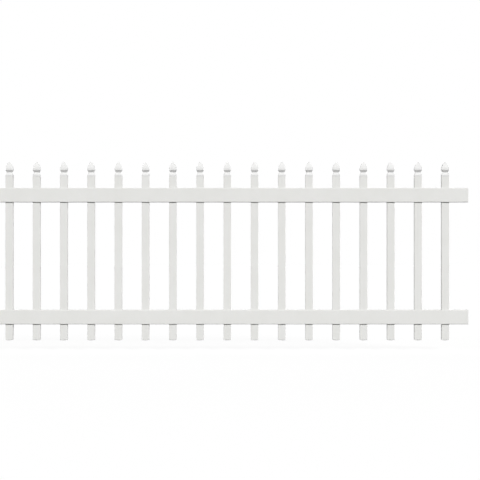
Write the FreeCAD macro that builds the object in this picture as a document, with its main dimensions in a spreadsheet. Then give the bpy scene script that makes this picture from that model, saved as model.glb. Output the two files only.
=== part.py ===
# White vinyl picket fence panel: two hollow rails, square tube pickets that pass through routed
# holes in both of them, a moulded gothic cap plugged into the top of each picket, and a low
# moulded plug in its foot.
#
# Millimetres. +X runs along the rails, from left to right as seen from the front, -Y is the front
# and +Z is up. The origin is the middle of the bottom rail's left end.

import FreeCAD
import Part
import Sketcher

import math
import os
from types import SimpleNamespace

SHEET_NAME = "Dimensions"

# Driving dimensions: alias, millimetres and what is measured
DIMENSIONS = [
    ("rail_length", 2466.0, "rail, end to end"),
    ("rail_height", 73.6, "rail, bottom face to top face"),
    ("rail_gap", 550.9, "clear height between the two rails"),
    ("rail_reveal", 6.4, "rail face in front of the picket face"),
    ("rail_wall", 2.3, "rail wall"),
    ("rail_corner", 3.0, "outside corner radius of the rail"),
    ("picket_width", 38.0, "side of the square picket"),
    ("picket_wall", 1.6, "picket wall"),
    ("picket_corner", 1.5, "outside corner radius of the picket"),
    ("picket_pitch", 139.6, "picket centre to picket centre"),
    ("picket_foot", 79.0, "picket tube below the bottom rail"),
    ("picket_rise", 58.6, "picket tube above the top rail"),
    ("routed_clearance", 0.3, "play between a picket and its routed hole, each side"),
    ("cap_lip", 9.0, "upright lip of the cap over the end of the tube"),
    ("cap_base_rise", 12.0, "lip of the cap up to the waist"),
    ("cap_throat_rise", 12.2, "waist of the cap up to the lower edge of the bud"),
    ("cap_bud_rise", 42.5, "lower edge of the bud up to its tip"),
    ("cap_waist_inset", 5.8, "waist of the cap, in from the picket face"),
    ("cap_waist_radius", 4.0, "rounding in the waist of the cap"),
    ("cap_tip_radius", 2.0, "rounding at the tip of the bud"),
    ("cap_core_wall", 3.0, "least wall around the core inside the waist"),
    ("cap_core_rise", 22.0, "core above the lower edge of the bud"),
    ("cap_spigot_length", 20.0, "spigot of the cap, below its lip"),
    ("plug_lip", 1.5, "upright lip of the plug under the end of the tube"),
    ("plug_crown", 2.4, "crown of the plug below its lip"),
    ("plug_crown_flat", 6.0, "side of the flat in the middle of the crown"),
    ("plug_spigot_length", 14.0, "spigot of the plug, above its lip"),
    ("spigot_wall", 2.0, "wall of a spigot that goes into the tube"),
    ("spigot_clearance", 0.3, "play between a spigot and the tube, each side"),
]

# How far the trimming sketch of a cap or a plug reaches past the solid that it trims
TRIM_MARGIN = 5.0


class Size:
    """A length that carries its formula in the sheet along with its present number."""

    def __init__(self, formula, number):
        self.formula = formula
        self.number = number

    def __add__(self, other):
        return Size(f"({self.formula} + {other.formula})", self.number + other.number)

    def __sub__(self, other):
        return Size(f"({self.formula} - {other.formula})", self.number - other.number)

    def __mul__(self, factor):
        return Size(f"({self.formula} * {factor})", self.number * factor)

    def __truediv__(self, divisor):
        return Size(f"({self.formula} / {divisor})", self.number / divisor)


def make_sheet(doc):
    """Write the driving dimensions to a spreadsheet and hand them back as sizes."""
    sheet = doc.addObject("Spreadsheet::Sheet", SHEET_NAME)
    for row, (alias, number, meaning) in enumerate(DIMENSIONS, start=1):
        sheet.set(f"A{row}", meaning)
        sheet.set(f"B{row}", str(number))
        sheet.setAlias(f"B{row}", alias)
    doc.recompute()
    sizes = {}
    for alias, _, _ in DIMENSIONS:
        sizes[alias] = Size(f"{SHEET_NAME}.{alias}", float(sheet.get(alias)))
    return SimpleNamespace(**sizes)


def add_fits(size):
    """Work out the sizes that follow from the driving ones."""
    size.rail_depth = size.picket_width + size.rail_reveal * 2
    size.rail_spacing = size.rail_height + size.rail_gap
    size.picket_bottom = size.picket_foot * -1 - size.rail_height / 2
    size.picket_top = size.rail_spacing + size.rail_height / 2 + size.picket_rise
    size.picket_bore = size.picket_width - size.picket_wall * 2
    size.hole_width = size.picket_width + size.routed_clearance * 2
    size.cap_waist_level = size.cap_lip + size.cap_base_rise
    size.cap_bud_level = size.cap_waist_level + size.cap_throat_rise
    size.cap_height = size.cap_bud_level + size.cap_bud_rise
    size.cap_waist_half = size.picket_width / 2 - size.cap_waist_inset
    size.core_width = (size.cap_waist_half - size.cap_core_wall) * 2
    size.spigot_width = size.picket_bore - size.spigot_clearance * 2
    size.spigot_bore = size.spigot_width - size.spigot_wall * 2
    size.picket_count = int(size.rail_length.number // size.picket_pitch.number)
    size.first_picket = (size.rail_length - size.picket_pitch * (size.picket_count - 1)) / 2


def bind(thing, path, size):
    """Tie a property of an object to a size of the sheet."""
    thing.setExpression(path, size.formula)


def new_body(doc, label):
    body = doc.addObject("PartDesign::Body", label)
    body.Label = label
    return body


def new_sketch(body, role, name, lift=None):
    """Attach an empty sketch to one of the body's own origin planes, or a size above it."""
    sketch = body.newObject("Sketcher::SketchObject", name)
    plane = next(item for item in body.Origin.OriginFeatures if item.Role == role)
    sketch.AttachmentSupport = [(plane, "")]
    sketch.MapMode = "FlatFace"
    if lift:
        bind(sketch, "AttachmentOffset.Base.z", lift)
    return sketch


def relate(sketch, kind, *targets):
    sketch.addConstraint(Sketcher.Constraint(kind, *targets))


def dimension(sketch, size, kind, *targets):
    """Add a dimension to a sketch, with its value tied to the sheet."""
    index = sketch.addConstraint(Sketcher.Constraint(kind, *targets, size.number))
    bind(sketch, f"Constraints[{index}]", size)


def add_line(sketch, start, end):
    segment = Part.LineSegment(FreeCAD.Vector(*start, 0), FreeCAD.Vector(*end, 0))
    return sketch.addGeometry(segment, False)


def add_arc(sketch, centre, radius, start_angle, end_angle):
    """Add an arc that runs anticlockwise between two angles in radians."""
    circle = Part.Circle(FreeCAD.Vector(*centre, 0), FreeCAD.Vector(0, 0, 1), radius)
    return sketch.addGeometry(Part.ArcOfCircle(circle, start_angle, end_angle), False)


# Sketcher counts the start, the end and the centre of a curve from one. Its origin is the start
# of the horizontal axis, and the axes count down from minus one.
START, END, CENTRE = range(1, 4)
HORIZONTAL_AXIS, VERTICAL_AXIS = range(-1, -3, -1)
ORIGIN = (HORIZONTAL_AXIS, START)


def rounded_rectangle(sketch, width, height, corner):
    """Draw a rectangle with rounded corners about the origin of the sketch."""
    across = (width / 2).number
    up = (height / 2).number
    radius = corner.number
    quarter = math.pi / 2
    arcs = []
    for turn, (side, level) in enumerate([(1, 1), (-1, 1), (-1, -1), (1, -1)]):
        centre = (side * (across - radius), level * (up - radius))
        arcs.append(add_arc(sketch, centre, radius, turn * quarter, (turn + 1) * quarter))
    top = add_line(sketch, (across - radius, up), (radius - across, up))
    left = add_line(sketch, (-across, up - radius), (-across, radius - up))
    bottom = add_line(sketch, (radius - across, -up), (across - radius, -up))
    right = add_line(sketch, (across, radius - up), (across, up - radius))
    sides = [top, left, bottom, right]
    for turn, side in enumerate(sides):
        relate(sketch, "Tangent", arcs[turn], END, side, START)
        relate(sketch, "Tangent", side, END, arcs[(turn + 1) % 4], START)
    for side in (top, bottom):
        relate(sketch, "Horizontal", side)
    for side in (left, right):
        relate(sketch, "Vertical", side)
    for arc in arcs[1:]:
        relate(sketch, "Equal", arcs[0], arc)
    dimension(sketch, corner, "Radius", arcs[0])
    dimension(sketch, width / 2, "DistanceX", *ORIGIN, right, START)
    dimension(sketch, width / 2, "DistanceX", left, START, *ORIGIN)
    dimension(sketch, height / 2, "DistanceY", *ORIGIN, top, START)
    dimension(sketch, height / 2, "DistanceY", bottom, START, *ORIGIN)


def add_polygon(sketch, corners):
    """Draw lines from corner to corner and back to the first, joined end to end."""
    sides = []
    for turn, corner in enumerate(corners):
        sides.append(add_line(sketch, corner, corners[(turn + 1) % len(corners)]))
    for turn, side in enumerate(sides):
        relate(sketch, "Coincident", side, END, sides[(turn + 1) % len(sides)], START)
    return sides


def rectangle(sketch, half_width, below, above):
    """Draw a rectangle about the vertical axis of the sketch, from below its origin to above."""
    across = half_width.number
    foot = -below.number
    head = above.number
    corners = [(-across, foot), (across, foot), (across, head), (-across, head)]
    bottom, right, top, left = add_polygon(sketch, corners)
    for side in (bottom, top):
        relate(sketch, "Horizontal", side)
    for side in (left, right):
        relate(sketch, "Vertical", side)
    dimension(sketch, half_width, "DistanceX", *ORIGIN, right, START)
    dimension(sketch, half_width, "DistanceX", left, START, *ORIGIN)
    dimension(sketch, above, "DistanceY", *ORIGIN, top, START)
    dimension(sketch, below, "DistanceY", bottom, START, *ORIGIN)


def square(sketch, side):
    rectangle(sketch, side / 2, side / 2, side / 2)


def cap_outline(sketch, size):
    """Draw the gothic outline of a cap about the vertical axis of the sketch.

    From the lip it slopes in to a rounded waist, flares out again under the bud and closes in
    two arcs, upright at their feet, that run into the small round tip.
    """
    half = (size.picket_width / 2).number
    lip = size.cap_lip.number
    waist_level = size.cap_waist_level.number
    bud_level = size.cap_bud_level.number
    height = size.cap_height.number
    tip_radius = size.cap_tip_radius.number
    waist_radius = size.cap_waist_radius.number
    waist_centre = size.cap_waist_half.number + waist_radius

    # Where the slopes touch the rounding of the waist, as angles about its centre
    def touching_angle(level):
        reach = math.hypot(half - waist_centre, level - waist_level)
        towards = math.atan2(abs(level - waist_level), half - waist_centre)
        return towards + math.acos(waist_radius / reach)

    below = 2 * math.pi - touching_angle(lip)
    above = touching_angle(bud_level)
    slope_end = (
        waist_centre + waist_radius * math.cos(below),
        waist_level + waist_radius * math.sin(below),
    )
    throat_start = (
        waist_centre + waist_radius * math.cos(above),
        waist_level + waist_radius * math.sin(above),
    )

    # The bud's arc is upright at its foot and touches the tip's circle from inside
    tip_rise = height - tip_radius - bud_level
    bud_radius = (half**2 + tip_rise**2 - tip_radius**2) / (2 * (half - tip_radius))
    bud_angle = math.atan2(tip_rise, bud_radius - half)

    base = add_line(sketch, (-half, 0), (half, 0))
    tip = add_arc(sketch, (0, height - tip_radius), tip_radius, bud_angle, math.pi - bud_angle)

    right_lip = add_line(sketch, (half, 0), (half, lip))
    right_slope = add_line(sketch, (half, lip), slope_end)
    right_waist = add_arc(sketch, (waist_centre, waist_level), waist_radius, above, below)
    right_throat = add_line(sketch, throat_start, (half, bud_level))
    right_bud = add_arc(sketch, (half - bud_radius, bud_level), bud_radius, 0, bud_angle)

    left_lip = add_line(sketch, (-half, 0), (-half, lip))
    left_slope = add_line(sketch, (-half, lip), (-slope_end[0], slope_end[1]))
    left_waist = add_arc(
        sketch, (-waist_centre, waist_level), waist_radius, math.pi - below, math.pi - above
    )
    left_throat = add_line(sketch, (-throat_start[0], throat_start[1]), (-half, bud_level))
    left_bud = add_arc(
        sketch, (bud_radius - half, bud_level), bud_radius, math.pi - bud_angle, math.pi
    )

    # The base, and both sides joined end to end
    relate(sketch, "Horizontal", base)
    relate(sketch, "Symmetric", base, START, base, END, *ORIGIN)
    dimension(sketch, size.picket_width / 2, "DistanceX", *ORIGIN, base, END)
    relate(sketch, "Coincident", base, END, right_lip, START)
    relate(sketch, "Coincident", base, START, left_lip, START)
    relate(sketch, "Coincident", right_lip, END, right_slope, START)
    relate(sketch, "Coincident", left_lip, END, left_slope, START)
    relate(sketch, "Tangent", right_slope, END, right_waist, END)
    relate(sketch, "Tangent", left_slope, END, left_waist, START)
    relate(sketch, "Tangent", right_throat, START, right_waist, START)
    relate(sketch, "Tangent", left_throat, START, left_waist, END)
    relate(sketch, "Coincident", right_throat, END, right_bud, START)
    relate(sketch, "Coincident", left_throat, END, left_bud, END)
    relate(sketch, "Tangent", right_bud, END, tip, START)
    relate(sketch, "Tangent", left_bud, START, tip, END)

    # Widths and levels of the right side
    relate(sketch, "Vertical", right_lip)
    dimension(sketch, size.cap_lip, "DistanceY", *ORIGIN, right_lip, END)
    waist_centre_size = size.cap_waist_half + size.cap_waist_radius
    dimension(sketch, size.cap_waist_radius, "Radius", right_waist)
    dimension(sketch, waist_centre_size, "DistanceX", *ORIGIN, right_waist, CENTRE)
    dimension(sketch, size.cap_waist_level, "DistanceY", *ORIGIN, right_waist, CENTRE)
    dimension(sketch, size.picket_width / 2, "DistanceX", *ORIGIN, right_throat, END)
    dimension(sketch, size.cap_bud_level, "DistanceY", *ORIGIN, right_throat, END)
    dimension(sketch, size.cap_bud_level, "DistanceY", *ORIGIN, right_bud, CENTRE)

    # The tip, and the left side as the mirror of the right
    relate(sketch, "PointOnObject", tip, CENTRE, VERTICAL_AXIS)
    dimension(sketch, size.cap_tip_radius, "Radius", tip)
    tip_centre_level = size.cap_height - size.cap_tip_radius
    dimension(sketch, tip_centre_level, "DistanceY", *ORIGIN, tip, CENTRE)
    relate(sketch, "Symmetric", right_lip, END, left_lip, END, VERTICAL_AXIS)
    relate(sketch, "Symmetric", right_waist, CENTRE, left_waist, CENTRE, VERTICAL_AXIS)
    relate(sketch, "Equal", right_waist, left_waist)
    relate(sketch, "Symmetric", right_throat, END, left_throat, END, VERTICAL_AXIS)
    relate(sketch, "Equal", right_bud, left_bud)


def plug_outline(sketch, size):
    """Draw the outline of a plug below its tube: an upright lip, and a low crown with a flat middle."""
    half = (size.picket_width / 2).number
    flat = (size.plug_crown_flat / 2).number
    lip = -size.plug_lip.number
    foot = lip - size.plug_crown.number
    corners = [(-half, 0), (half, 0), (half, lip), (flat, foot), (-flat, foot), (-half, lip)]
    top, right_lip, _, bottom, _, left_lip = add_polygon(sketch, corners)
    relate(sketch, "PointOnObject", top, START, HORIZONTAL_AXIS)
    relate(sketch, "Symmetric", top, START, top, END, VERTICAL_AXIS)
    relate(sketch, "Vertical", right_lip)
    relate(sketch, "Symmetric", right_lip, END, left_lip, START, VERTICAL_AXIS)
    relate(sketch, "Symmetric", bottom, START, bottom, END, VERTICAL_AXIS)
    dimension(sketch, size.picket_width / 2, "DistanceX", *ORIGIN, top, END)
    dimension(sketch, size.plug_lip, "DistanceY", right_lip, END, *ORIGIN)
    dimension(sketch, size.plug_crown_flat / 2, "DistanceX", *ORIGIN, bottom, START)
    dimension(sketch, size.plug_lip + size.plug_crown, "DistanceY", bottom, START, *ORIGIN)


def add_pad(body, sketch, name, length, side="One side", reverse=False):
    pad = body.newObject("PartDesign::Pad", name)
    pad.Profile = sketch
    bind(pad, "Length", length)
    pad.SideType = side
    pad.Reversed = reverse
    return pad


def add_pocket_through(body, sketch, name):
    """Cut a sketch right through the body, both ways from its plane."""
    pocket = body.newObject("PartDesign::Pocket", name)
    pocket.Profile = sketch
    pocket.Type = "ThroughAll"
    pocket.SideType = "Symmetric"
    return pocket


def add_pocket(body, sketch, name, depth, up):
    """Cut a sketch into the body, upwards or downwards from its plane."""
    pocket = body.newObject("PartDesign::Pocket", name)
    pocket.Profile = sketch
    bind(pocket, "Length", depth)
    pocket.Reversed = up
    return pocket


def make_rail(doc, size, label):
    """A hollow rail along X from its left end, with a routed hole for each picket."""
    body = new_body(doc, label)
    profile = new_sketch(body, "YZ_Plane", f"{label}_profile")
    rounded_rectangle(profile, size.rail_depth, size.rail_height, size.rail_corner)
    half_bore = size.rail_height / 2 - size.rail_wall
    rectangle(profile, size.rail_depth / 2 - size.rail_wall, half_bore, half_bore)
    add_pad(body, profile, f"{label}_extrusion", size.rail_length)

    hole = new_sketch(body, "XY_Plane", f"{label}_hole")
    square(hole, size.hole_width)
    bind(hole, "AttachmentOffset.Base.x", size.first_picket)
    routed = add_pocket_through(body, hole, f"{label}_routed_hole")

    row = body.newObject("PartDesign::LinearPattern", f"{label}_routed_row")
    row.Originals = [routed]
    row.Direction = (hole, ["H_Axis"])
    row.Mode = "Spacing"
    row.Occurrences = size.picket_count
    bind(row, "Offset", size.picket_pitch)
    body.Tip = row
    return body


def make_picket(doc, size, label):
    """A square tube, open at both ends, standing on the local origin."""
    body = new_body(doc, label)
    section = new_sketch(body, "XY_Plane", f"{label}_section")
    rounded_rectangle(section, size.picket_width, size.picket_width, size.picket_corner)
    square(section, size.picket_bore)
    body.Tip = add_pad(body, section, f"{label}_tube", size.picket_top - size.picket_bottom)
    return body


def make_cap(doc, size, label):
    """A four-sided moulded cap, with its lip on the local origin and its spigot below."""
    body = new_body(doc, label)
    front = new_sketch(body, "XZ_Plane", f"{label}_front")
    cap_outline(front, size)
    margin = Size(str(TRIM_MARGIN), TRIM_MARGIN)
    add_pad(body, front, f"{label}_block", size.picket_width + margin * 2, side="Symmetric")

    # Cutting the same outline from the side leaves four faces that meet along the corners
    side = new_sketch(body, "YZ_Plane", f"{label}_side")
    cap_outline(side, size)
    rectangle(side, size.picket_width / 2 + margin * 2, margin, size.cap_height + margin)
    add_pocket_through(body, side, f"{label}_side_trim")

    spigot = new_sketch(body, "XY_Plane", f"{label}_spigot")
    square(spigot, size.spigot_width)
    add_pad(body, spigot, f"{label}_spigot_block", size.cap_spigot_length, reverse=True)

    # The hollow is drawn up from the foot of the spigot: wide in the lip, narrow past the waist
    spigot_foot = size.cap_spigot_length * -1
    bore = new_sketch(body, "XY_Plane", f"{label}_bore", lift=spigot_foot)
    square(bore, size.spigot_bore)
    bore_depth = size.cap_spigot_length + size.cap_lip
    add_pocket(body, bore, f"{label}_spigot_hollow", bore_depth, up=True)

    core = new_sketch(body, "XY_Plane", f"{label}_core", lift=spigot_foot)
    square(core, size.core_width)
    core_depth = size.cap_spigot_length + size.cap_bud_level + size.cap_core_rise
    body.Tip = add_pocket(body, core, f"{label}_bud_hollow", core_depth, up=True)
    return body


def make_plug(doc, size, label):
    """A moulded plug for the foot of a picket, with its lip on the local origin and its spigot above."""
    body = new_body(doc, label)
    front = new_sketch(body, "XZ_Plane", f"{label}_front")
    plug_outline(front, size)
    margin = Size(str(TRIM_MARGIN), TRIM_MARGIN)
    add_pad(body, front, f"{label}_block", size.picket_width + margin * 2, side="Symmetric")

    # The same cut from the side leaves a crown of four faces, lowest in the middle of the foot
    side = new_sketch(body, "YZ_Plane", f"{label}_side")
    plug_outline(side, size)
    below = size.plug_lip + size.plug_crown + margin
    rectangle(side, size.picket_width / 2 + margin * 2, below, margin)
    add_pocket_through(body, side, f"{label}_side_trim")

    spigot = new_sketch(body, "XY_Plane", f"{label}_spigot")
    square(spigot, size.spigot_width)
    add_pad(body, spigot, f"{label}_spigot_block", size.plug_spigot_length)
    bore = new_sketch(body, "XY_Plane", f"{label}_bore", lift=size.plug_spigot_length)
    square(bore, size.spigot_bore)
    body.Tip = add_pocket(body, bore, f"{label}_hollow", size.plug_spigot_length, up=False)
    return body


def make_panel(doc, size):
    """Place the rails, the pickets, and the cap and plug of each picket."""
    bodies = []
    bodies.append(make_rail(doc, size, "bottom_rail"))
    top_rail = make_rail(doc, size, "top_rail")
    bind(top_rail, "Placement.Base.z", size.rail_spacing)
    bodies.append(top_rail)
    for index in range(size.picket_count):
        across = size.first_picket + size.picket_pitch * index
        picket = make_picket(doc, size, f"picket_{index + 1:02d}")
        bind(picket, "Placement.Base.x", across)
        bind(picket, "Placement.Base.z", size.picket_bottom)
        cap = make_cap(doc, size, f"picket_cap_{index + 1:02d}")
        bind(cap, "Placement.Base.x", across)
        bind(cap, "Placement.Base.z", size.picket_top)
        plug = make_plug(doc, size, f"picket_plug_{index + 1:02d}")
        bind(plug, "Placement.Base.x", across)
        bind(plug, "Placement.Base.z", size.picket_bottom)
        bodies.extend([picket, cap, plug])
    return bodies


def check(doc, bodies):
    """Stop if anything in the document failed, or if a piece is not one sound solid."""
    for item in doc.Objects:
        if "Invalid" in item.State or "Error" in item.State:
            raise RuntimeError(f"{item.Label} failed: {item.State}")
    for body in bodies:
        shape = body.Shape
        if shape.isNull() or not shape.isValid() or len(shape.Solids) != 1:
            raise RuntimeError(f"{body.Label} is not one valid solid")


def write_parts(bodies):
    os.makedirs("parts", exist_ok=True)
    for body in bodies:
        body.Shape.exportStep(os.path.join("parts", f"{body.Label}.step"))


def main():
    doc = FreeCAD.newDocument("picket_fence_panel")
    size = make_sheet(doc)
    add_fits(size)
    bodies = make_panel(doc, size)
    doc.recompute()
    check(doc, bodies)
    write_parts(bodies)
    volume = sum(body.Shape.Volume for body in bodies)
    print(f"{len(bodies)} pieces, {volume / 1e3:.0f} cubic centimetres")


main()
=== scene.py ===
# White vinyl picket fence panel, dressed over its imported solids: two extruded rails with routed
# holes, square tube pickets through them, moulded gothic caps plugged into the tops of the tubes
# and low moulded plugs in their feet.
#
# Metres, in the frame of the solids: +X along the rails, -Y the front, +Z up.

import math

import bmesh
import bpy
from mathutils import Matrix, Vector


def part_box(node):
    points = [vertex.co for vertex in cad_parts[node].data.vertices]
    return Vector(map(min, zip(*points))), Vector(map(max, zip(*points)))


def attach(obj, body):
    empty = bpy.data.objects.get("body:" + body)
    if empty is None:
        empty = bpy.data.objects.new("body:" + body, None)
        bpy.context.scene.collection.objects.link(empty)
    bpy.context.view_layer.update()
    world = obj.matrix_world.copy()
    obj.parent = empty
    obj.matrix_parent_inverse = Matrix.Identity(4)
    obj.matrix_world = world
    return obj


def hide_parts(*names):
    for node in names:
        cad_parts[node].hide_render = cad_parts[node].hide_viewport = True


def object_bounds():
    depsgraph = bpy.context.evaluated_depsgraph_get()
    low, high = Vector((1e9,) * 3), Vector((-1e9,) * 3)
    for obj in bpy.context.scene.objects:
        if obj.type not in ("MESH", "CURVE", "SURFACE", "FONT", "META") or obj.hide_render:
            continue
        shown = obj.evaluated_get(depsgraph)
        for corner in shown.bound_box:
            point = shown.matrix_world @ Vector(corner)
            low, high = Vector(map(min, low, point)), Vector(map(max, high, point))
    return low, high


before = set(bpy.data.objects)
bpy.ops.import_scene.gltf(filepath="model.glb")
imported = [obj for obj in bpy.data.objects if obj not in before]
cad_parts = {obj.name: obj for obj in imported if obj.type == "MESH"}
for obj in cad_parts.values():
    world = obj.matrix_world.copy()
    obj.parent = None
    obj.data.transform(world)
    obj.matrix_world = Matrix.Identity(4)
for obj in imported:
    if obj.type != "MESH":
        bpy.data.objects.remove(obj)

solid_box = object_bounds()

# Sections of the extrusions
RAIL_WALL = 0.0023
RAIL_CORNER = 0.003
RAIL_INNER_CORNER = 0.001
PICKET_WALL = 0.0016
PICKET_CORNER = 0.0015
PICKET_INNER_CORNER = 0.0006
ROUTED_CLEARANCE = 0.0003

# Outline of the gothic cap, upwards from the end of the tube
CAP_LIP = 0.009
CAP_BASE_RISE = 0.012
CAP_THROAT_RISE = 0.0122
CAP_WAIST_INSET = 0.0058
CAP_WAIST_RADIUS = 0.004
CAP_TIP_RADIUS = 0.002
CAP_ARRIS = 0.0012

# Core of the cap, inside its waist and bud
CORE_WALL = 0.003
CORE_RISE = 0.022

# Plug in the foot of a picket, downwards from the end of the tube
PLUG_LIP = 0.0015
PLUG_CROWN_FLAT = 0.006
PLUG_ARRIS = 0.001

# Spigots of the caps and the plugs, inside the tubes
SPIGOT_CLEARANCE = 0.0003
SPIGOT_WALL = 0.002
SPIGOT_CORNER = 0.0008

# Edges left by the saw, the router and the mould
SAWN_EDGE = 0.0005
ROUTED_EDGE = 0.0004
MOULDED_EDGE = 0.0006
EDGE_STEPS = 2
SHARP_ANGLE = math.radians(40)
CREASE_ANGLE = math.radians(20)

# Steps along the curves, and the most of a half width that a rounded corner takes
CORNER_STEPS = 6
WAIST_STEPS = 8
BUD_STEPS = 24
TIP_STEPS = 8
ROUNDEST_CORNER = 0.8

# Clouding of each finish: two tones, clouds to a metre, and roughness in the smoothest and roughest places
EXTRUDED_CLOUDING = {
    "Tone": (0.82, 0.82, 0.80, 1.0),
    "Shade": (0.79, 0.79, 0.765, 1.0),
    "Scale": 8.0,
    "Smoothest": 0.34,
    "Roughest": 0.46,
}
MOULDED_CLOUDING = {
    "Tone": (0.81, 0.81, 0.803, 1.0),
    "Shade": (0.785, 0.785, 0.776, 1.0),
    "Scale": 30.0,
    "Smoothest": 0.24,
    "Roughest": 0.34,
}
CUT_CLOUDING = {
    "Tone": (0.84, 0.84, 0.825, 1.0),
    "Shade": (0.77, 0.77, 0.745, 1.0),
    "Scale": 90.0,
    "Smoothest": 0.62,
    "Roughest": 0.8,
}

# Marks of each finish, by how often they change in a metre along X, Y and Z
RAIL_LINES = {"Fine": (0.6, 420.0, 420.0), "Broad": (0.2, 60.0, 60.0)}
RAIL_RUBS = {"One Way": (14.0, 900.0, 700.0), "Other Way": (600.0, 900.0, 25.0)}
PICKET_LINES = {"Fine": (420.0, 420.0, 0.9), "Broad": (60.0, 60.0, 0.3)}
PICKET_RUBS = {"One Way": (700.0, 900.0, 14.0), "Other Way": (25.0, 900.0, 600.0)}
MOULDED_RUBS = {"One Way": (60.0, 900.0, 500.0), "Other Way": (700.0, 60.0, 400.0)}
MOULD_GRAIN = (1400.0, 1400.0, 1400.0)
TOOL_MARKS = (1500.0, 1500.0, 25.0)

# Relief of the marks: strength of the bump, and its depth
DIE_RELIEF = {"Strength": 0.2, "Distance": 0.0004}
MOULD_RELIEF = {"Strength": 0.3, "Distance": 0.0003}
TOOL_RELIEF = {"Strength": 0.8, "Distance": 0.0004}

# Noise: how many finer layers it has, and how much each of them counts
FINE_LINE_DETAIL = 3.0
STREAK_DETAIL = 1.0
MARK_DETAIL = 2.0
MARK_FINENESS = 0.6
CLOUD_DETAIL = 4.0
CLOUD_FINENESS = 0.55

# Stretch of the noise over which the tone, the roughness and the rubs change
TONE_START = 0.35
TONE_FULL = 0.7
ROUGH_START = 0.3
ROUGH_FULL = 0.7
RUB_START = 0.66
RUB_FULL = 0.74

# Vinyl's index of refraction, how the broad streaks and the rubs show, and the slot of a cut face
VINYL_IOR = 1.54
STREAK_SHARE = 0.5
RUB_ROUGHENING = 0.12
CUT_FACE = 1

# Camera: where it stands, and how the photograph frames the panel
IMAGE_SIDE = 480
SENSOR_WIDTH_MM = 36.0
METRES_PER_PIXEL = 0.00512
CAMERA_DISTANCE = 9.5
PANEL_MIDDLE_PIXEL = 227.3
BOTTOM_RAIL_PIXEL = 317.09

# Stage: a floor that is grey to the lamps and glows white to the eye
FLOOR_DROP = 0.05
FLOOR_HALF = 30.0
FLOOR_GREY = (0.1, 0.1, 0.1, 1.0)
FLOOR_GLOW = 0.92
WHITE = (1.0, 1.0, 1.0, 1.0)

# Lamps: degrees up from the horizon and to the right of the front, degrees across, strength
FRONT_LAMPS = {
    "key softbox": (30, 35, 15, 2.83),
    "fill softbox": (30, -35, 15, 0.63),
}
SIDE_LAMPS = {
    "left softbox": (13.5, -70, 20, 0.92),
    "right softbox": (13.5, 70, 20, 0.35),
}
BACK_LAMP = (12, 180, 20, 2.6)

rail_names = ["bottom_rail", "top_rail"]
cap_names = sorted(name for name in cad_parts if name.startswith("picket_cap_"))
plug_names = sorted(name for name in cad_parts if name.startswith("picket_plug_"))
picket_names = [name.replace("_cap", "") for name in cap_names]


def arc(centre, radius, start, end, steps):
    """Points on an arc, both ends included."""
    points = []
    for step in range(steps + 1):
        angle = start + (end - start) * step / steps
        points.append((centre[0] + radius * math.cos(angle), centre[1] + radius * math.sin(angle)))
    return points


def rounded_corners(half_width, half_height, radius):
    """The four corner arcs of a rounded rectangle, anticlockwise from the corner up and right."""
    quarter = math.pi / 2
    corners = []
    for turn, (side, level) in enumerate([(1, 1), (-1, 1), (-1, -1), (1, -1)]):
        centre = (side * (half_width - radius), level * (half_height - radius))
        corners.append(arc(centre, radius, turn * quarter, (turn + 1) * quarter, CORNER_STEPS))
    return corners


def square_ring(half, corner):
    """One loop of points round a square with rounded corners, which leave some of each side flat."""
    points = []
    for corner_points in rounded_corners(half, half, min(corner, half * ROUNDEST_CORNER)):
        points.extend(corner_points)
    return points


def bridge(mesh, first, second):
    """Join two loops of as many points with a band of faces."""
    count = len(first)
    band = []
    for index in range(count):
        following = (index + 1) % count
        band.append(mesh.faces.new((first[index], first[following], second[following], second[index])))
    return band


def bridge_cut(mesh, first, second):
    """Join two loops with a band of faces that the saw or the router has left."""
    for face in bridge(mesh, first, second):
        face.material_index = CUT_FACE


def finish_piece(node, mesh, materials, edge, angle):
    """Turn a mesh into a piece that stands for a solid of the panel, its edges eased past an angle."""
    bmesh.ops.recalc_face_normals(mesh, faces=mesh.faces)
    name = f"{node}_vinyl"
    data = bpy.data.meshes.new(name)
    mesh.to_mesh(data)
    mesh.free()
    data.shade_smooth()
    for material in materials:
        data.materials.append(material)
    piece = bpy.data.objects.new(name, data)
    bpy.context.collection.objects.link(piece)
    eased = piece.modifiers.new("eased edges", "BEVEL")
    eased.width = edge
    eased.segments = EDGE_STEPS
    eased.limit_method = "ANGLE"
    eased.angle_limit = angle
    flat = piece.modifiers.new("flat faces", "WEIGHTED_NORMAL")
    flat.keep_sharp = True
    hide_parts(node)
    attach(piece, "root")


def rail_section(half_depth, half_height, corner, half_hole):
    """Points round a rail's section, and where the routed holes' edges start on its top and bottom."""
    right_top, left_top, left_bottom, right_bottom = rounded_corners(half_depth, half_height, corner)
    points = list(right_top)
    top_edge = len(points)
    points += [(half_hole, half_height), (-half_hole, half_height)]
    points += left_top + left_bottom
    bottom_edge = len(points)
    points += [(-half_hole, -half_height), (half_hole, -half_height)]
    points += right_bottom
    return points, (top_edge, bottom_edge)


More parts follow.
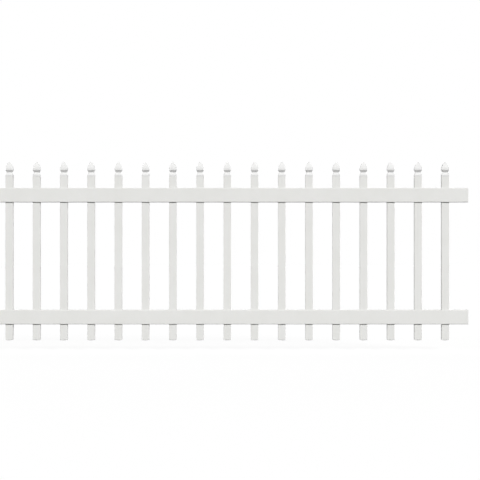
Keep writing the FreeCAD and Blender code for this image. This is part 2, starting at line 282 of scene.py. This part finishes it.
def make_rail(node, materials):
    """A hollow extrusion with a square hole routed through its top and bottom for each picket."""
    low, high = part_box(node)
    middle = (low + high) / 2
    half_depth = (high.y - low.y) / 2
    half_height = (high.z - low.z) / 2
    stations = [low.x]
    for picket in picket_names:
        picket_low, picket_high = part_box(picket)
        stations += [picket_low.x - ROUTED_CLEARANCE, picket_high.x + ROUTED_CLEARANCE]
    stations.append(high.x)
    half_hole = (picket_high.y - picket_low.y) / 2 + ROUTED_CLEARANCE
    mesh = bmesh.new()

    def skin(inset, corner):
        """The section at each station along the rail, and where its holes' edges start."""
        section, edges = rail_section(half_depth - inset, half_height - inset, corner, half_hole)
        loops = []
        for station in stations:
            loops.append([mesh.verts.new((station, middle.y + y, middle.z + z)) for y, z in section])
        return loops, edges

    outside, hole_edges = skin(0.0, RAIL_CORNER)
    inside, _ = skin(RAIL_WALL, RAIL_INNER_CORNER)
    count = len(outside[0])
    # Plain bays and bays with a picket take turns, from a plain one at the left end
    for bay in range(len(stations) - 1):
        at_picket = bay % 2 == 1
        for index in range(count):
            following = (index + 1) % count
            quads = []
            for loops in (outside, inside):
                left, right = loops[bay], loops[bay + 1]
                quads.append((left[index], left[following], right[following], right[index]))
            if at_picket and index in hole_edges:
                bridge_cut(mesh, *quads)
            else:
                for quad in quads:
                    mesh.faces.new(quad)
    for end in (0, -1):
        bridge_cut(mesh, outside[end], inside[end])
    finish_piece(node, mesh, materials, ROUTED_EDGE, SHARP_ANGLE)


def ring_loops(mesh, centre, rings):
    """Lay loops of a square piece about its upright axis, from (half width, corner, level)."""
    loops = []
    for half, corner, level in rings:
        ring = square_ring(half, corner)
        loops.append([mesh.verts.new((centre.x + x, centre.y + y, level)) for x, y in ring])
    return loops


def make_picket(node, materials):
    """A square tube, sawn off at both ends."""
    low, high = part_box(node)
    half = (high.x - low.x) / 2
    bore = half - PICKET_WALL
    mesh = bmesh.new()
    foot, head, bore_head, bore_foot = ring_loops(mesh, (low + high) / 2, [
        (half, PICKET_CORNER, low.z),
        (half, PICKET_CORNER, high.z),
        (bore, PICKET_INNER_CORNER, high.z),
        (bore, PICKET_INNER_CORNER, low.z),
    ])
    bridge(mesh, foot, head)
    bridge(mesh, bore_head, bore_foot)
    bridge_cut(mesh, head, bore_head)
    bridge_cut(mesh, bore_foot, foot)
    finish_piece(node, mesh, materials, SAWN_EDGE, SHARP_ANGLE)


def cap_outline(half, height):
    """Half width and level up the cap: lip, slope, waist, throat, bud and tip."""
    waist_level = CAP_LIP + CAP_BASE_RISE
    bud_level = waist_level + CAP_THROAT_RISE
    waist_centre = half - CAP_WAIST_INSET + CAP_WAIST_RADIUS

    def touching_angle(rise):
        """Where a straight line from the full width, a rise away from the waist, touches its arc."""
        reach = math.hypot(half - waist_centre, rise)
        return math.atan2(rise, half - waist_centre) + math.acos(CAP_WAIST_RADIUS / reach)

    below = 2 * math.pi - touching_angle(CAP_BASE_RISE)
    above = touching_angle(CAP_THROAT_RISE)
    tip_rise = height - CAP_TIP_RADIUS - bud_level
    bud_radius = (half**2 + tip_rise**2 - CAP_TIP_RADIUS**2) / (2 * (half - CAP_TIP_RADIUS))
    bud_angle = math.atan2(tip_rise, bud_radius - half)

    outline = [(half, 0.0), (half, CAP_LIP)]
    outline += arc((waist_centre, waist_level), CAP_WAIST_RADIUS, below, above, WAIST_STEPS)
    outline += arc((half - bud_radius, bud_level), bud_radius, 0.0, bud_angle, BUD_STEPS)
    tip = arc((0.0, height - CAP_TIP_RADIUS), CAP_TIP_RADIUS, bud_angle, math.pi / 2, TIP_STEPS)
    return outline + tip[1:-1]


def make_cap(node, materials):
    """A moulded cap, hollow, with the spigot that plugs into its picket."""
    low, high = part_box(node)
    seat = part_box(node.replace("_cap", ""))[1].z
    half = (high.x - low.x) / 2
    spigot = half - PICKET_WALL - SPIGOT_CLEARANCE
    bore = spigot - SPIGOT_WALL
    core = half - CAP_WAIST_INSET - CORE_WALL
    core_top = seat + CAP_LIP + CAP_BASE_RISE + CAP_THROAT_RISE + CORE_RISE

    rings = []
    for width, level in reversed(cap_outline(half, high.z - seat)):
        rings.append((width, CAP_ARRIS, seat + level))
    rings += [
        (spigot, SPIGOT_CORNER, seat),
        (spigot, SPIGOT_CORNER, low.z),
        (bore, SPIGOT_CORNER, low.z),
        (bore, SPIGOT_CORNER, seat + CAP_LIP),
        (core, SPIGOT_CORNER, seat + CAP_LIP),
        (core, SPIGOT_CORNER, core_top),
    ]
    mesh = bmesh.new()
    centre = (low + high) / 2
    loops = ring_loops(mesh, centre, rings)
    for first, second in zip(loops, loops[1:]):
        bridge(mesh, first, second)
    mesh.faces.new(loops[-1])
    tip = mesh.verts.new((centre.x, centre.y, high.z))
    for index, vertex in enumerate(loops[0]):
        mesh.faces.new((vertex, loops[0][(index + 1) % len(loops[0])], tip))
    finish_piece(node, mesh, materials, MOULDED_EDGE, CREASE_ANGLE)


def make_plug(node, materials):
    """A moulded plug, crowned below, with the hollow spigot that goes up into its picket."""
    low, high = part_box(node)
    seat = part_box(node.replace("_plug", ""))[0].z
    half = (high.x - low.x) / 2
    spigot = half - PICKET_WALL - SPIGOT_CLEARANCE
    bore = spigot - SPIGOT_WALL
    mesh = bmesh.new()
    loops = ring_loops(mesh, (low + high) / 2, [
        (PLUG_CROWN_FLAT / 2, PLUG_ARRIS, low.z),
        (half, PLUG_ARRIS, seat - PLUG_LIP),
        (half, PLUG_ARRIS, seat),
        (spigot, SPIGOT_CORNER, seat),
        (spigot, SPIGOT_CORNER, high.z),
        (bore, SPIGOT_CORNER, high.z),
        (bore, SPIGOT_CORNER, seat),
    ])
    for first, second in zip(loops, loops[1:]):
        bridge(mesh, first, second)
    mesh.faces.new(loops[0])
    mesh.faces.new(loops[-1])
    finish_piece(node, mesh, materials, MOULDED_EDGE, SHARP_ANGLE)


def set_inputs(node, values):
    """Set the inputs of a node by their names."""
    for name, value in values.items():
        node.inputs[name].default_value = value


def add_node(tree, kind, values=None, operation=None):
    """A new node with its inputs set by name."""
    node = tree.nodes.new(kind)
    if operation:
        node.operation = operation
    set_inputs(node, values or {})
    return node


def new_group(name, inputs, outputs):
    """An empty shader node group, with the sockets that its nodes take from and give to."""
    group = bpy.data.node_groups.new(name, "ShaderNodeTree")
    for socket_name, kind in inputs.items():
        group.interface.new_socket(socket_name, in_out="INPUT", socket_type=kind)
    for socket_name, kind in outputs.items():
        group.interface.new_socket(socket_name, in_out="OUTPUT", socket_type=kind)
    entry = group.nodes.new("NodeGroupInput")
    leaving = group.nodes.new("NodeGroupOutput")
    return group, entry.outputs, leaving.inputs


def place_group(tree, group, values):
    """A shader node group placed among other nodes, with its own values."""
    node = tree.nodes.new("ShaderNodeGroup")
    node.node_tree = group
    set_inputs(node, values)
    return node


def stretched_noise(tree, often, detail):
    """Noise that changes as often along X, Y and Z as a vector, or a socket with one, says."""
    place = add_node(tree, "ShaderNodeTexCoord")
    scaled = add_node(tree, "ShaderNodeVectorMath", operation="MULTIPLY")
    layers = {"Scale": 1.0, "Detail": detail, "Roughness": MARK_FINENESS}
    noise = add_node(tree, "ShaderNodeTexNoise", layers)
    tree.links.new(place.outputs["Object"], scaled.inputs[0])
    if isinstance(often, bpy.types.NodeSocket):
        tree.links.new(often, scaled.inputs[1])
    else:
        scaled.inputs[1].default_value = often
    tree.links.new(scaled.outputs["Vector"], noise.inputs["Vector"])
    return noise.outputs["Fac"]


def with_share(tree, first, second, share):
    """A value, with a share of another one added to it."""
    total = add_node(tree, "ShaderNodeMath", operation="MULTIPLY_ADD")
    tree.links.new(second, total.inputs[0])
    total.inputs[1].default_value = share
    tree.links.new(first, total.inputs[2])
    return total.outputs["Value"]


def make_die_lines():
    """Lines that the die leaves along an extrusion: fine ones, and a few broad streaks."""
    group, given, result = new_group(
        "die lines",
        {"Fine": "NodeSocketVector", "Broad": "NodeSocketVector"},
        {"Lines": "NodeSocketFloat"},
    )
    fine = stretched_noise(group, given["Fine"], FINE_LINE_DETAIL)
    broad = stretched_noise(group, given["Broad"], STREAK_DETAIL)
    group.links.new(with_share(group, fine, broad, STREAK_SHARE), result["Lines"])
    return group


def make_clouding():
    """Soft unevenness of the vinyl: a colour between two tones, and how rough it is."""
    group, given, result = new_group(
        "vinyl clouding",
        {
            "Tone": "NodeSocketColor",
            "Shade": "NodeSocketColor",
            "Scale": "NodeSocketFloat",
            "Smoothest": "NodeSocketFloat",
            "Roughest": "NodeSocketFloat",
        },
        {"Color": "NodeSocketColor", "Roughness": "NodeSocketFloat"},
    )
    place = add_node(group, "ShaderNodeTexCoord")
    cloud = add_node(group, "ShaderNodeTexNoise", {"Detail": CLOUD_DETAIL, "Roughness": CLOUD_FINENESS})
    spread = add_node(group, "ShaderNodeMapRange", {"From Min": TONE_START, "From Max": TONE_FULL})
    tone = add_node(group, "ShaderNodeMix")
    tone.data_type = "RGBA"
    rough = add_node(group, "ShaderNodeMapRange", {"From Min": ROUGH_START, "From Max": ROUGH_FULL})
    group.links.new(place.outputs["Object"], cloud.inputs["Vector"])
    group.links.new(given["Scale"], cloud.inputs["Scale"])
    group.links.new(cloud.outputs["Fac"], spread.inputs["Value"])
    group.links.new(spread.outputs["Result"], tone.inputs["Factor"])
    group.links.new(given["Tone"], tone.inputs["A"])
    group.links.new(given["Shade"], tone.inputs["B"])
    group.links.new(tone.outputs["Result"], result["Color"])
    group.links.new(cloud.outputs["Fac"], rough.inputs["Value"])
    group.links.new(given["Smoothest"], rough.inputs["To Min"])
    group.links.new(given["Roughest"], rough.inputs["To Max"])
    group.links.new(rough.outputs["Result"], result["Roughness"])
    return group


def make_handling_rubs():
    """Sparse hairline rubs from stacking and handling, in two directions, as a mask from 0 to 1."""
    ways = ("One Way", "Other Way")
    group, given, result = new_group(
        "handling rubs", {way: "NodeSocketVector" for way in ways}, {"Rubs": "NodeSocketFloat"}
    )
    either = add_node(group, "ShaderNodeMath", operation="MAXIMUM")
    for socket, way in enumerate(ways):
        thin = add_node(group, "ShaderNodeMapRange", {"From Min": RUB_START, "From Max": RUB_FULL})
        group.links.new(stretched_noise(group, given[way], MARK_DETAIL), thin.inputs["Value"])
        group.links.new(thin.outputs["Result"], either.inputs[socket])
    group.links.new(either.outputs["Value"], result["Rubs"])
    return group


def new_vinyl(name):
    """A new vinyl material, with its nodes and its shader."""
    material = bpy.data.materials.new(name)
    material.use_nodes = True
    tree = material.node_tree
    shader = tree.nodes["Principled BSDF"]
    shader.inputs["IOR"].default_value = VINYL_IOR
    return material, tree, shader


def raise_marks(tree, shader, height, relief):
    """Let the marks of a finish stand out from the surface."""
    bump = add_node(tree, "ShaderNodeBump", relief)
    tree.links.new(height, bump.inputs["Height"])
    tree.links.new(bump.outputs["Normal"], shader.inputs["Normal"])


def colour_vinyl(tree, shader, clouding, rubs=None):
    """Give the shader the clouded colour and roughness, rougher where the vinyl has been rubbed."""
    tree.links.new(clouding.outputs["Color"], shader.inputs["Base Color"])
    roughness = clouding.outputs["Roughness"]
    if rubs:
        roughness = with_share(tree, roughness, rubs.outputs["Rubs"], RUB_ROUGHENING)
    tree.links.new(roughness, shader.inputs["Roughness"])


def make_extruded_vinyl(name, line_values, rub_values, groups):
    """Satin vinyl with die lines along it, and rubs."""
    material, tree, shader = new_vinyl(name)
    lines = place_group(tree, groups["lines"], line_values)
    rubs = place_group(tree, groups["rubs"], rub_values)
    clouding = place_group(tree, groups["clouding"], EXTRUDED_CLOUDING)
    raise_marks(tree, shader, lines.outputs["Lines"], DIE_RELIEF)
    colour_vinyl(tree, shader, clouding, rubs)
    return material


def make_moulded_vinyl(name, groups):
    """Moulded vinyl, greyer and glossier than the extrusions, with the fine grain of the mould."""
    material, tree, shader = new_vinyl(name)
    rubs = place_group(tree, groups["rubs"], MOULDED_RUBS)
    clouding = place_group(tree, groups["clouding"], MOULDED_CLOUDING)
    raise_marks(tree, shader, stretched_noise(tree, MOULD_GRAIN, MARK_DETAIL), MOULD_RELIEF)
    colour_vinyl(tree, shader, clouding, rubs)
    return material


def make_cut_vinyl(name, groups):
    """The bare wall where the saw or the router has gone through: matt, with upright tool marks."""
    material, tree, shader = new_vinyl(name)
    clouding = place_group(tree, groups["clouding"], CUT_CLOUDING)
    raise_marks(tree, shader, stretched_noise(tree, TOOL_MARKS, MARK_DETAIL), TOOL_RELIEF)
    colour_vinyl(tree, shader, clouding)
    return material


def make_panel():
    """Dress every solid of the panel."""
    groups = {"lines": make_die_lines(), "clouding": make_clouding(), "rubs": make_handling_rubs()}
    cut_vinyl = make_cut_vinyl("cut vinyl", groups)
    rail_vinyl = make_extruded_vinyl("rail vinyl", RAIL_LINES, RAIL_RUBS, groups)
    picket_vinyl = make_extruded_vinyl("picket vinyl", PICKET_LINES, PICKET_RUBS, groups)
    moulded_vinyl = make_moulded_vinyl("moulded vinyl", groups)
    for name in rail_names:
        make_rail(name, [rail_vinyl, cut_vinyl])
    for name in picket_names:
        make_picket(name, [picket_vinyl, cut_vinyl])
    for name in cap_names:
        make_cap(name, [moulded_vinyl])
    for name in plug_names:
        make_plug(name, [moulded_vinyl])


def seen_by_eye(tree):
    """A mask that is 1 for rays from the camera, also by way of gloss or glass, and 0 for other light."""
    path = add_node(tree, "ShaderNodeLightPath")
    seen = path.outputs["Is Camera Ray"]
    for ray in ("Is Glossy Ray", "Is Transmission Ray"):
        either = add_node(tree, "ShaderNodeMath", operation="MAXIMUM")
        tree.links.new(seen, either.inputs[0])
        tree.links.new(path.outputs[ray], either.inputs[1])
        seen = either.outputs["Value"]
    return seen


def make_world():
    """White to the eye, and dark otherwise, so that the lamps alone light the panel."""
    world = bpy.data.worlds.new("white studio")
    bpy.context.scene.world = world
    world.use_nodes = True
    tree = world.node_tree
    background = tree.nodes["Background"]
    background.inputs["Color"].default_value = WHITE
    tree.links.new(seen_by_eye(tree), background.inputs["Strength"])


def make_floor():
    """A plain floor, a little way under the pickets, that takes their shadow."""
    level = solid_box[0].z - FLOOR_DROP
    mesh = bmesh.new()
    corners = [(-1, -1), (1, -1), (1, 1), (-1, 1)]
    mesh.faces.new([mesh.verts.new((x * FLOOR_HALF, y * FLOOR_HALF, level)) for x, y in corners])
    data = bpy.data.meshes.new("floor")
    mesh.to_mesh(data)
    mesh.free()
    floor = bpy.data.objects.new("floor", data)
    bpy.context.collection.objects.link(floor)
    material = bpy.data.materials.new("pale floor")
    material.use_nodes = True
    tree = material.node_tree
    shader = tree.nodes["Principled BSDF"]
    set_inputs(shader, {
        "Base Color": FLOOR_GREY,
        "Roughness": 1.0,
        "Specular IOR Level": 0.0,
        "Emission Color": WHITE,
    })
    glow = add_node(tree, "ShaderNodeMath", operation="MULTIPLY")
    glow.inputs[1].default_value = FLOOR_GLOW
    tree.links.new(seen_by_eye(tree), glow.inputs[0])
    tree.links.new(glow.outputs["Value"], shader.inputs["Emission Strength"])
    data.materials.append(material)


def make_lamp(name, elevation, azimuth, across, strength):
    """A wide soft lamp a long way off, so that the panel is lit alike from end to end."""
    lamp_data = bpy.data.lights.new(name, "SUN")
    lamp_data.energy = strength
    lamp_data.angle = math.radians(across)
    lamp = bpy.data.objects.new(name, lamp_data)
    bpy.context.collection.objects.link(lamp)
    up, around = math.radians(elevation), math.radians(azimuth)
    ahead = math.cos(up)
    towards = Vector((math.sin(around) * ahead, -math.cos(around) * ahead, math.sin(up)))
    lamp.rotation_euler = towards.to_track_quat("Z", "Y").to_euler()
    return lamp


def make_lamps():
    """Soft light all round. The front lamps throw no light up from the rails, as in the photograph."""
    for name, values in FRONT_LAMPS.items():
        make_lamp(name, *values).data.cycles.max_bounces = 0
    for name, values in SIDE_LAMPS.items():
        make_lamp(name, *values)
    # The gloss of the vinyl doesn't show the lamp behind the panel
    make_lamp("back softbox", *BACK_LAMP).visible_glossy = False


def make_camera():
    """Level with the middle of the picture, square to the panel."""
    low, high = solid_box
    picket_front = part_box(picket_names[0])[0].y
    rail_low, rail_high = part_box("bottom_rail")
    camera_data = bpy.data.cameras.new("camera")
    camera = bpy.data.objects.new("camera", camera_data)
    bpy.context.collection.objects.link(camera)
    middle = IMAGE_SIDE / 2
    camera.location = (
        (low.x + high.x) / 2 + (middle - PANEL_MIDDLE_PIXEL) * METRES_PER_PIXEL,
        picket_front - CAMERA_DISTANCE,
        (rail_low.z + rail_high.z) / 2 + (BOTTOM_RAIL_PIXEL - middle) * METRES_PER_PIXEL,
    )
    camera.rotation_euler = (math.pi / 2, 0.0, 0.0)
    camera_data.sensor_width = SENSOR_WIDTH_MM
    camera_data.lens = SENSOR_WIDTH_MM * CAMERA_DISTANCE / (IMAGE_SIDE * METRES_PER_PIXEL)
    bpy.context.scene.camera = camera


make_panel()
make_world()
make_floor()
make_lamps()
make_camera()
bpy.context.scene.view_settings.view_transform = "Standard"
